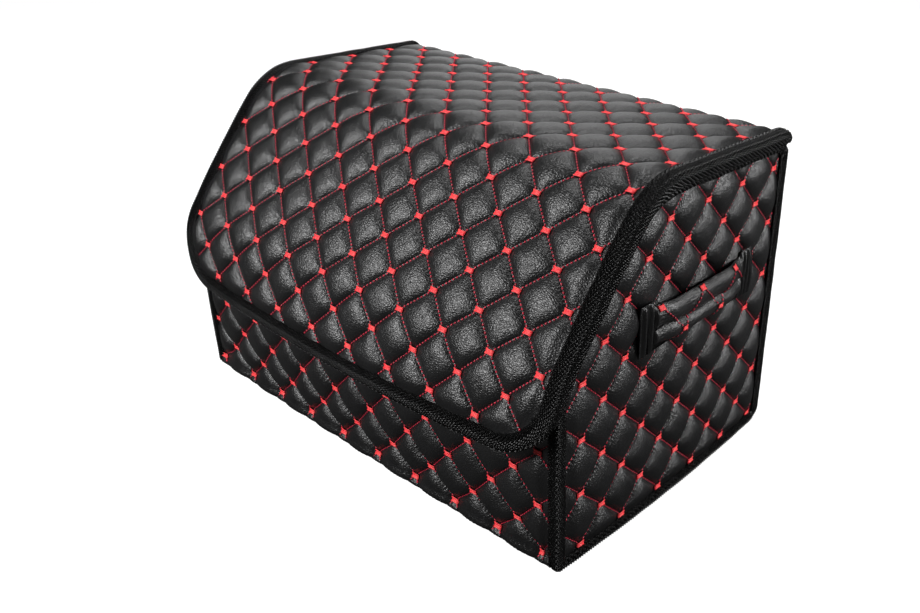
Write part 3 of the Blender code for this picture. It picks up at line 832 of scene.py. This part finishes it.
def seam_pucker(across, along):
    """Small pleats square to the seams, which lie where across is a whole number."""
    away = (across.math("FRACT") - 0.5).math("ABSOLUTE")
    near = ((away - 0.5) * (CELL * 1000 / PUCKER_REACH_MM)).math("EXPONENT")
    return near * (along * (2 * math.pi * STITCHES_PER_CELL)).math("COSINE") * -1.0


def thread_material(name, dark, light, scale):
    shade = Shade(name, 0.42)
    place = shade.place()
    tone = shade.noise(place, scale)
    shade.tones(tone, (0.35, dark), (0.65, light))
    strands = shade.noise(place, 2600.0)
    shade.set("Normal", shade.bump(strands * 0.0002, 1.0))
    return shade.material


def tape_material():
    shade = Shade("braided_tape", 0.3, 0.32)
    place = shade.place()
    yarn = shade.noise(place, 1500.0, detail=3.0)
    along, across = shade.uv("braid")
    one = ((along + across) * (math.pi / YARN_PITCH)).math("SINE").math("ABSOLUTE")
    other = ((along - across) * (math.pi / YARN_PITCH)).math("SINE").math("ABSOLUTE")
    shade.set("Normal", shade.bump(yarn * 0.0003 + one * other * 0.0016, 1.0))
    shade.tones(yarn, (0.35, (0.0006, 0.0006, 0.0006)), (0.75, (0.003, 0.003, 0.0031)))
    shade.set("Roughness", 0.20 + 0.2 * yarn)
    return shade.material


def felt_material():
    shade = Shade("lining_felt", 0.95, 0.2)
    place = shade.place()
    fibres = shade.noise(place, 900.0, detail=4.0)
    shade.tones(fibres, (0.3, (0.018, 0.018, 0.020)), (0.7, (0.040, 0.040, 0.043)))
    shade.set("Normal", shade.bump(fibres * 0.0006, 1.0))
    return shade.material


def board_material():
    shade = Shade("fibreboard", 0.85, 0.3)
    place = shade.place()
    chips = shade.noise(place, 300.0, detail=5.0)
    shade.tones(chips, (0.3, (0.16, 0.095, 0.045)), (0.7, (0.28, 0.18, 0.10)))
    shade.set("Normal", shade.bump(chips * 0.0003, 1.0))
    return shade.material


def plastic_material():
    shade = Shade("plastic_sheet", 0.5)
    place = shade.place()
    haze = shade.noise(place, 120.0)
    shade.tones(haze, (0.3, (0.045, 0.045, 0.045)), (0.7, (0.06, 0.06, 0.06)))
    shade.set("Roughness", 0.42 + 0.15 * haze)
    return shade.material


def closure_material():
    shade = Shade("hook_and_loop", 0.9, 0.3)
    place = shade.place()
    loops = shade.node("ShaderNodeTexVoronoi", {"feature": "F1"}, Vector=place, Scale=750.0)
    shade.tones(loops, (0.1, (0.022, 0.022, 0.022)), (0.6, (0.006, 0.006, 0.006)))
    shade.set("Normal", shade.bump(loops * -0.0008, 1.0))
    return shade.material


LEATHER_LOOK = leather_material()
# Seams and tacks are sewn with one red thread; the seam thread's colours are darkened as painted shade, for
# the grooves between the puffs.
SHADED_SEAM_THREAD_LOOK = thread_material("seam_thread_painted_shade", (0.27, 0.005, 0.022), (0.64, 0.024, 0.058), 700.0)
# The tack thread's colours are lightened towards coral as a painted highlight, for the light the tacks
# catch.
LIT_TACK_THREAD_LOOK = thread_material("tack_thread_painted_highlight", (0.86, 0.026, 0.045), (0.98, 0.085, 0.078), 500.0)
THREAD_LOOKS = (SHADED_SEAM_THREAD_LOOK, LIT_TACK_THREAD_LOOK)
TAPE_LOOK = tape_material()
NODE_LOOKS = {
    "lining_felt": felt_material(),
    "fibreboard": board_material(),
    "plastic_sheet": plastic_material(),
    "hook_and_loop": closure_material(),
    "braided_tape": TAPE_LOOK,
    "black_leatherette": LEATHER_LOOK,
}


def dress_nodes():
    slots = {part["node"]: part["material_slot"] for part in frame["record"]["subparts"]}
    for name, node in frame["nodes"].items():
        node.data.materials.clear()
        node.data.materials.append(NODE_LOOKS[slots[name]])


def add_piece(name, bm, looks):
    bmesh.ops.recalc_face_normals(bm, faces=bm.faces)
    mesh = bpy.data.meshes.new(name)
    bm.to_mesh(mesh)
    bm.free()
    for look in looks if isinstance(looks, tuple) else (looks,):
        mesh.materials.append(look)
    mesh.shade_smooth()
    piece = bpy.data.objects.new(name, mesh)
    bpy.context.scene.collection.objects.link(piece)
    return piece


def hinge_leather(piece):
    """Bakes the piece's placement into its mesh; it does not follow the lid as it turns."""
    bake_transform(piece)


def side_corners():
    """Corners of a side panel's outer edge (depth, height, radius)."""
    front = FRONT_Y - SIDE_TAPE_EDGE
    rear = REAR_Y + SIDE_TAPE_EDGE
    drop = -(LID_THICKNESS + LID_REST_GAP)
    arc = LID_REAR_RADIUS * math.radians(LID_REAR_DEG)
    stops = [arc, arc + LID_TOP]
    for (length, _), steps in ((LID_BEND, 8), (LID_SLANT, 10), (LID_KNEE, 3)):
        stops += [stops[-1] + length * step / steps for step in range(1, steps + 1)]
    under = []
    for stop in stops:
        spot, normal = SHELL.locate(HINGE_AT + stop)
        under.append(spot + drop * normal)
    last = next(i for i, point in enumerate(under) if point.x < front)
    a, b = under[last - 1], under[last]
    meet = a.lerp(b, (a.x - front) / (a.x - b.x))
    slope = [point for point in under[:last] if (point - meet).length > SIDE_TAPE_WIDTH]
    corners = [(front, 0, FRONT_CORNER), (rear, 0, REAR_CORNER)]
    corners.append((rear, HINGE_Z - LID_REAR_RADIUS, REAR_TOP_CORNER))
    corners += [(*point, 0) for point in slope]
    corners.append((*meet, FRONT_CORNER))
    return corners


def lid_drift(x, along):
    """The lid's pattern was laid a little askew: right on top, left on the flap."""
    share = x / LID_HALF_WIDTH
    place = (1 - share * share) * (1 - LID_DRIFT_SKEW * share) / LID_DRIFT_PEAK
    down = (along - HINGE_AT) / (LID_END - HINGE_AT)
    top = LID_DRIFT_TOP * (1 - smooth_step(*LID_DRIFT_TOP_RUN, down))
    flap = LID_DRIFT_FLAP * smooth_step(*LID_DRIFT_FLAP_RUN, down)
    return place * (top - flap), 0.0


def front_drift(x, along):
    """The front panel's pattern was pulled up and to the right near its lower edge."""
    half = HALF_WIDTH - SIDE_TAPE_LEG
    free = smooth_step(0.0, FRONT_DRIFT_EDGE, half - abs(x))
    right = FRONT_DRIFT * free * smooth_step(*FRONT_DRIFT_RUN, along)
    return right, -FRONT_PULL * smooth_step(*FRONT_PULL_RUN, along)


def build_lid():
    edge = LID_END - FLAP_SHORT
    front = [(LID_HALF_WIDTH, edge, LID_CORNER)]
    wide = LID_HALF_WIDTH * 1000
    for x in FLAP_POINTS_MM:
        front.append((x / 1000, edge + FLAP_BOW * (1 - (x / wide) ** 2), 0))
    front += [(-LID_HALF_WIDTH, edge, LID_CORNER)]
    inset = LID_TAPE_WIDTH - UNDER_TAPE
    rear = HINGE_AT - HINGE_JOINT - inset
    sheet = Outline([(-LID_HALF_WIDTH, rear, 0), (LID_HALF_WIDTH, rear, 0), *front], loose=(0,))
    quilt = Quilt(on_path(SHELL), sheet, inset, (LID_CROSSING_X, HINGE_AT + BEND_ROW * ROW), 1.0,
                  drift=lid_drift, flatter=HINGE_AT + ROLL)
    breaks = [HINGE_AT - HINGE_JOINT + LID_BREAK_SPACING * step for step in range(1, LID_BREAKS + 1)]
    cover = add_piece("lid_leather", leather_sheet(quilt, breaks), LEATHER_LOOK)
    hinge_leather(cover)
    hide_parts("lid_cover")
    seams = add_piece("lid_thread", thread(quilt, UNDER_TAPE), THREAD_LOOKS)
    hinge_leather(seams)
    corners = [(LID_HALF_WIDTH, HINGE_AT, 0), *front, (-LID_HALF_WIDTH, HINGE_AT, 0)]
    section = section_points([
        (-LID_LIP, -LID_LIP_DROP, 0.0007), (-LID_LIP, TAPE_RISE, 0.0034),
        (LID_TAPE_WIDTH, TAPE_RISE, 0.002), (LID_TAPE_WIDTH, -LID_THICKNESS, 0.0006),
        (-0.0004, -LID_THICKNESS, 0), (-0.0004, -LID_LIP_DROP, 0.0007)])
    tape = braid(Outline(corners, closed=False), section, LID_TAPE_WIDTH, on_path(SHELL), False)
    piece = add_piece("lid_tape", tape, TAPE_LOOK)
    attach(piece, "lid")
    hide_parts("lid_binding")


def build_sides():
    outline = Outline(side_corners())
    section = section_points([
        (0, -SIDE_TAPE_LEG, 0.0008), (0, SIDE_TAPE_RISE, 0.0026),
        (SIDE_TAPE_WIDTH, SIDE_TAPE_RISE, 0.002), (SIDE_TAPE_WIDTH, -LEATHER, 0),
        (SIDE_TAPE_EDGE + LEATHER, -LEATHER, 0), (SIDE_TAPE_EDGE + LEATHER, -SIDE_TAPE_LEG, 0.0008)])
    for side, name in ((1, "right"), (-1, "left")):
        place = on_side(side)
        quilt = Quilt(place, outline, SIDE_TAPE_WIDTH - UNDER_TAPE, SIDE_CROSSING, 3.0 + side)
        cover = add_piece("side_leather_" + name, leather_sheet(quilt), LEATHER_LOOK)
        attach(cover, "box")
        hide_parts("side_cover_" + name)
        seams = add_piece("side_thread_" + name, thread(quilt, UNDER_TAPE, SLENDER), THREAD_LOOKS)
        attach(seams, "box")
        tape = braid(outline, section, SIDE_TAPE_WIDTH, place, True)
        piece = add_piece("side_tape_" + name, tape, TAPE_LOOK)
        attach(piece, "box")
        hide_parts("side_binding_" + name)


class Handle:
    """A folded strap of quilted leather, sewn on at both ends."""

    def __init__(self, side):
        self.side = side

    def profile(self, along, across):
        """Heights of the face and the back above the seat, and half the strap's height."""
        end = smooth_step(STRAP_HALF - TAB, STRAP_HALF - TAB + TAB_RUN, abs(along))
        lifted = 1 - smooth_step(STRAP_HALF - TAB - ARCH_RUN, STRAP_HALF - TAB, abs(along))
        half = STRAP_HALF_HEIGHT + (TAB_HALF_HEIGHT - STRAP_HALF_HEIGHT) * end
        edge = math.sqrt(max(0.0, 1 - min(1.0, abs(across) / half) ** 6))
        arch = ARCH * lifted
        seam = math.exp(-((across - FOLD_SEAM) / FOLD_SEAM_SPREAD) ** 2)
        if across > FOLD_SEAM:
            middle = (STRAP_HALF_HEIGHT + FOLD_SEAM) / 2
            reach = (STRAP_HALF_HEIGHT - FOLD_SEAM) / 2
        else:
            middle = (FOLD_SEAM - STRAP_HALF_HEIGHT) / 2
            reach = (FOLD_SEAM + STRAP_HALF_HEIGHT) / 2
        band = max(0.0, 1 - (abs(across - middle) / reach) ** 2.4) ** 0.6
        full = BAND_BASE + BAND_RISE * band - FOLD_SEAM_DIP * seam
        rumple = noise.noise(Vector((along * 60, across * 25, 4.0 + self.side)))
        full += STRAP_RUMPLE * rumple
        fold = 2 * math.pi * (abs(along) - PLEAT_FRONT[0]) / PLEAT_FRONT[1]
        if along > 0:
            fold = 2 * math.pi * (along - PLEAT_REAR[0] - PLEAT_LEAN * across) / PLEAT_REAR[1]
        pleats = 0.5 + 0.5 * math.cos(fold)
        flat = PLEAT_BASE + PLEAT_RISE * pleats ** 1.5
        face = full + (flat - full) * end
        mid = 0.0016 + 0.0004 * end
        return arch + mid + (face - mid) * edge, arch + mid - mid * 0.9 * edge, half

    def place(self, depth, height, out):
        along = depth - HANDLE_PLACE[0]
        across = height - HANDLE_PLACE[1]
        face, _, _ = self.profile(along, across)
        return Vector((self.side * (HALF_WIDTH + HANDLE_SEAT + face + out), depth, height))

    def build(self):
        """The strap's closed skin: rings of points from end to end."""
        bm = bmesh.new()
        bmesh.ops.create_grid(bm, x_segments=HANDLE_RINGS, y_segments=HANDLE_AROUND, size=0.5)
        uv = bm.loops.layers.uv.new("quilt")
        for vert in bm.verts:
            along = 2 * STRAP_HALF * vert.co.x
            turn = 2 * math.pi * (vert.co.y + 0.5)
            _, _, half = self.profile(along, 0)
            across = -half * 0.9999 * math.cos(turn)
            face, back, _ = self.profile(along, across)
            out = face if math.sin(turn) >= 0 else back
            fall = STRAP_SAG * math.sin(9 * along / STRAP_HALF) * (1 - abs(across) / half)
            vert.co = (self.side * (HALF_WIDTH + HANDLE_SEAT + out),
                       HANDLE_PLACE[0] + along, HANDLE_PLACE[1] + across + fall)
        for face in bm.faces:
            for loop in face.loops:
                loop[uv].uv = (loop.vert.co.y / CELL, loop.vert.co.z / CELL)
        bmesh.ops.remove_doubles(bm, verts=bm.verts, dist=TINY)
        rim = [edge for edge in bm.edges if edge.is_boundary]
        bmesh.ops.holes_fill(bm, edges=rim, sides=0)
        return bm


def build_handles():
    depth, height = HANDLE_PLACE
    reach = STRAP_HALF - TAB
    low = height - STRAP_HALF_HEIGHT
    high = height + STRAP_HALF_HEIGHT + 0.0008
    strap = [(depth - reach, low, 0), (depth + reach, low, 0),
             (depth + reach, high, 0), (depth - reach, high, 0)]
    for side, name in ((1, "right"), (-1, "left")):
        handle = Handle(side)
        piece = add_piece("handle_leather_" + name, handle.build(), LEATHER_LOOK)
        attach(piece, "box")
        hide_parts("handle_" + name)
        quilt = Quilt(handle.place, Outline(strap), 0, STRAP_CROSSING, 9.0)
        stitches = thread(quilt, STRAP_CLEAR, tack_size=HANDLE_TACK_SIZE)
        red = add_piece("handle_thread_" + name, stitches, THREAD_LOOKS)
        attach(red, "box")
        bm = bmesh.new()
        bead = bead_shape()
        for step in range(FOLD_SEAM_STITCHES):
            along = reach * (2 * (step + 0.5) / FOLD_SEAM_STITCHES - 1)
            spot = handle.place(depth + along, height + FOLD_SEAM, 0.0002)
            size = Matrix.Diagonal((0.0006, 0.0014, 0.0007, 1))
            stamp(bm, bead, Matrix.Translation(spot) @ size @ Matrix.Rotation(math.pi / 2, 4, "Z"))
        bpy.data.meshes.remove(bead)
        black = add_piece("handle_seam_" + name, bm, TAPE_LOOK)
        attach(black, "box")


def build_back():
    half = PANEL_HALF
    top = HINGE_AT - HINGE_JOINT
    outline = Outline([(-half, 0, 0), (half, 0, 0), (half, top, 0), (-half, top, 0)], loose=(0, 2))
    crossing = (LID_CROSSING_X, HINGE_AT + BEND_ROW * ROW - BACK_PITCHES * PITCH)
    quilt = Quilt(on_path(SHELL), outline, 0, crossing, 1.0, taut=0.0, flatter=HINGE_AT + ROLL)
    breaks = [REAR_CORNER * math.radians(WRAP_DEG) * step / 3 for step in (1, 2, 3)]
    cover = add_piece("back_leather", leather_sheet(quilt, breaks), LEATHER_LOOK)
    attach(cover, "box")
    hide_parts("back_cover")
    seams = add_piece("back_thread", thread(quilt, CUT_CLEAR), THREAD_LOOKS)
    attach(seams, "box")


def build_front():
    half = PANEL_HALF
    top = FRONT_SHEET_TOP
    foot = FRONT.length + FRONT_PULL
    outline = Outline([(-half, top, 0), (half, top, 0), (half, foot, 0), (-half, foot, 0)], loose=(2,))
    quilt = Quilt(on_front, outline, 0, FRONT_CROSSING, 5.0, taut=foot, drift=front_drift)
    breaks = [foot - FRONT_FOLD * math.radians(WRAP_DEG) * step / 3 for step in (1, 2, 3)]
    breaks += [0.105 + 0.005 * step for step in range(8)]
    cover = add_piece("front_leather", leather_sheet(quilt, breaks), LEATHER_LOOK)
    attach(cover, "box")
    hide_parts("front_cover")
    seams = add_piece("front_thread", thread(quilt, CUT_CLEAR, SLENDER), THREAD_LOOKS)
    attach(seams, "box")


def add_area(name, place, target, size, power):
    lamp = bpy.data.lights.new(name, "AREA")
    lamp.shape = "RECTANGLE"
    lamp.size, lamp.size_y = size
    lamp.energy = power
    holder = bpy.data.objects.new(name, lamp)
    holder.location = place
    holder.rotation_euler = (Vector(target) - Vector(place)).to_track_quat("-Z", "Y").to_euler()
    bpy.context.scene.collection.objects.link(holder)


def build_light():
    world = bpy.data.worlds.new("studio")
    world.use_nodes = True
    tree = world.node_tree
    background = tree.nodes["Background"]
    rays = tree.nodes.new("ShaderNodeLightPath")
    strength = tree.nodes.new("ShaderNodeMapRange")
    strength.inputs["To Min"].default_value = AMBIENT
    strength.inputs["To Max"].default_value = 1.0
    seen = tree.nodes.new("ShaderNodeMath")
    seen.operation = "MULTIPLY_ADD"
    seen.use_clamp = True
    seen.inputs[1].default_value = GLOSS_SHARE
    tree.links.new(rays.outputs["Is Glossy Ray"], seen.inputs[0])
    clear = tree.nodes.new("ShaderNodeMath")
    clear.operation = "MAXIMUM"
    tree.links.new(rays.outputs["Is Camera Ray"], clear.inputs[0])
    tree.links.new(rays.outputs["Is Transmission Ray"], clear.inputs[1])
    tree.links.new(clear.outputs[0], seen.inputs[2])
    tree.links.new(seen.outputs[0], strength.inputs["Value"])
    background.inputs["Color"].default_value = (1, 1, 1, 1)
    tree.links.new(strength.outputs["Result"], background.inputs["Strength"])
    bpy.context.scene.world = world
    add_area("front_softbox", (-0.42, -1.2, 0.9), (0, 0, 0.2), (0.7, 0.5), 25.0)
    add_area("top_softbox", (-0.3, 0.5, 1.7), (0, 0, 0.2), (1.0, 0.8), 14.0)
    add_area("back_softbox", (-1.3, 1.6, 0.8), (0, 0, 0.25), (1.2, 0.8), 5.0)
    add_area("right_softbox", (1.9, 0.9, 0.9), (0, 0, 0.15), (0.8, 0.8), 47.0)


def build_floor():
    bm = bmesh.new()
    bmesh.ops.create_grid(bm, x_segments=1, y_segments=1, size=FLOOR_HALF,
                          matrix=Matrix.Translation((0, 0, -FLOOR_DROP)))
    mesh = bpy.data.meshes.new("floor")
    bm.to_mesh(mesh)
    bm.free()
    shade = Shade("white_floor", 0.9, 0.0)
    shade.shader.inputs["Emission Color"].default_value = (1, 1, 1, 1)
    tree = shade.tree
    rays = tree.nodes.new("ShaderNodeLightPath")
    seen = Value(shade, rays.outputs["Is Camera Ray"]).math(
        "MAXIMUM", Value(shade, rays.outputs["Is Transmission Ray"]))
    mirrored = Value(shade, rays.outputs["Is Glossy Ray"])
    shade.set("Base Color", 0.08 + seen * 0.22)
    shade.set("Emission Strength", seen * 0.94 + mirrored * 0.01)
    mesh.materials.append(shade.material)
    floor = bpy.data.objects.new("floor", mesh)
    bpy.context.scene.collection.objects.link(floor)


def build_camera():
    right = Vector((0.7604, 0.6493, 0.0158)).normalized()
    up = Vector((-0.3136, 0.3457, 0.8844))
    up = (up - up.dot(right) * right).normalized()
    back = right.cross(up)
    turn = Matrix((right, up, back)).transposed().to_4x4()
    lens = bpy.data.cameras.new("camera")
    lens.lens = 37.6
    lens.sensor_width = 36.0
    lens.shift_x = -0.1304
    camera = bpy.data.objects.new("camera", lens)
    camera.matrix_world = Matrix.Translation((0.6361, -0.5917, 0.5534)) @ turn
    bpy.context.scene.collection.objects.link(camera)
    bpy.context.scene.camera = camera


dress_nodes()
build_lid()
build_sides()
build_back()
build_front()
build_handles()
build_light()
build_floor()
build_camera()
bpy.context.scene.view_settings.view_transform = "Standard"
